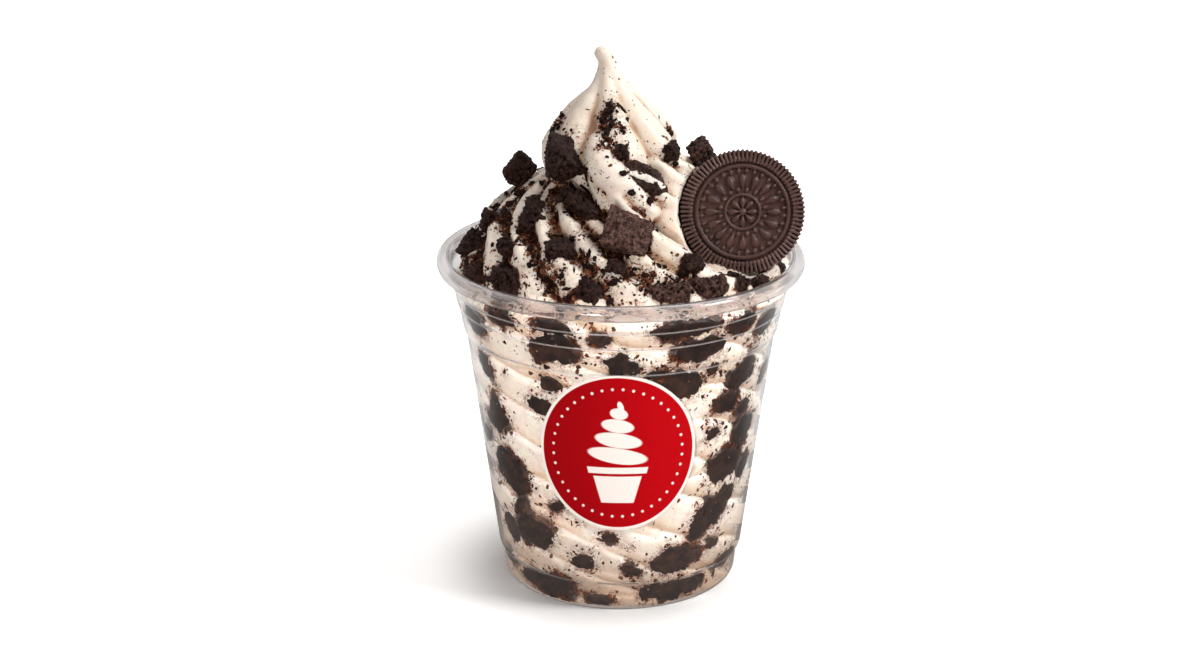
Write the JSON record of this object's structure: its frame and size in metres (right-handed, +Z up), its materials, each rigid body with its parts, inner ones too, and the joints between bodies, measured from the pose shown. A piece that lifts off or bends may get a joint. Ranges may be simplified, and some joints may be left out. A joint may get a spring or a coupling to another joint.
{
  "type": "soft-serve sundae",
  "caption": "Soft serve swirled to a peak in a clear plastic cup, mixed and topped with broken chocolate biscuit, with a round sandwich biscuit stuck in at the rim.",
  "frame": {"origin": "centre of the cup's foot, on the surface it stands on", "axes": "+Z up along the cup's axis; the label faces -Y and the round biscuit stands at +X"},
  "size_m": [0.098, 0.098, 0.146],
  "materials": {
    "cup_plastic": "clear thin PET, glossy inside and out, with bright edges at its rings and rolled lip",
    "label_print": "red label film with a satin shine, an off-white edge line and a plain off-white device",
    "soft_serve": "warm white soft ice cream, smooth and slightly moist, with tan light in its folds and fine biscuit dust",
    "chocolate_biscuit": "very dark brown baked biscuit, coarse and crumbly where it is broken, dry, with small glints",
    "biscuit_cream": "white biscuit filling, dense and matt"
  },
  "bodies": {
    "root": {"biscuit_back_wafer": "chocolate_biscuit", "biscuit_cream": "biscuit_cream", "biscuit_front_wafer": "chocolate_biscuit", "chunk_back_left": "chocolate_biscuit", "chunk_back_middle": "chocolate_biscuit", "chunk_back_peak": "chocolate_biscuit", "chunk_back_rim": "chocolate_biscuit", "chunk_back_rim_left": "chocolate_biscuit", "chunk_back_rim_right": "chocolate_biscuit", "chunk_behind_biscuit": "chocolate_biscuit", "chunk_below_block": "chocolate_biscuit", "chunk_big_block": "chocolate_biscuit", "chunk_corner_left": "chocolate_biscuit", "chunk_dark_pit": "chocolate_biscuit", "chunk_filled": "chocolate_biscuit", "chunk_front_left": "chocolate_biscuit", "chunk_front_long": "chocolate_biscuit", "chunk_front_long_right": "chocolate_biscuit", "chunk_left_top": "chocolate_biscuit", "chunk_middle_left": "chocolate_biscuit", "chunk_peak_left": "chocolate_biscuit", "chunk_peak_right": "chocolate_biscuit", "chunk_ridge_left": "chocolate_biscuit", "chunk_right_round": "chocolate_biscuit", "chunk_rim_far_right": "chocolate_biscuit", "chunk_rim_right": "chocolate_biscuit", "chunk_round_small": "chocolate_biscuit", "chunk_shoulder_left": "chocolate_biscuit", "chunk_under_biscuit": "chocolate_biscuit", "chunk_under_peak_left": "chocolate_biscuit", "chunk_wall_left": "chocolate_biscuit", "chunk_wall_left_low": "chocolate_biscuit", "cup": "cup_plastic", "label": "label_print", "soft_serve": "soft_serve", "sunk_back_low": "chocolate_biscuit", "sunk_back_middle": "chocolate_biscuit", "sunk_back_right": "chocolate_biscuit", "sunk_far_right": "chocolate_biscuit", "sunk_far_right_low": "chocolate_biscuit", "sunk_foot_left": "chocolate_biscuit", "sunk_foot_right": "chocolate_biscuit", "sunk_left": "chocolate_biscuit", "sunk_left_of_label": "chocolate_biscuit", "sunk_low_left": "chocolate_biscuit", "sunk_low_middle": "chocolate_biscuit", "sunk_low_right": "chocolate_biscuit", "sunk_right": "chocolate_biscuit", "sunk_right_of_label": "chocolate_biscuit", "sunk_upper_left": "chocolate_biscuit", "sunk_upper_middle": "chocolate_biscuit", "sunk_upper_right": "chocolate_biscuit"}
  },
  "joints": []
}
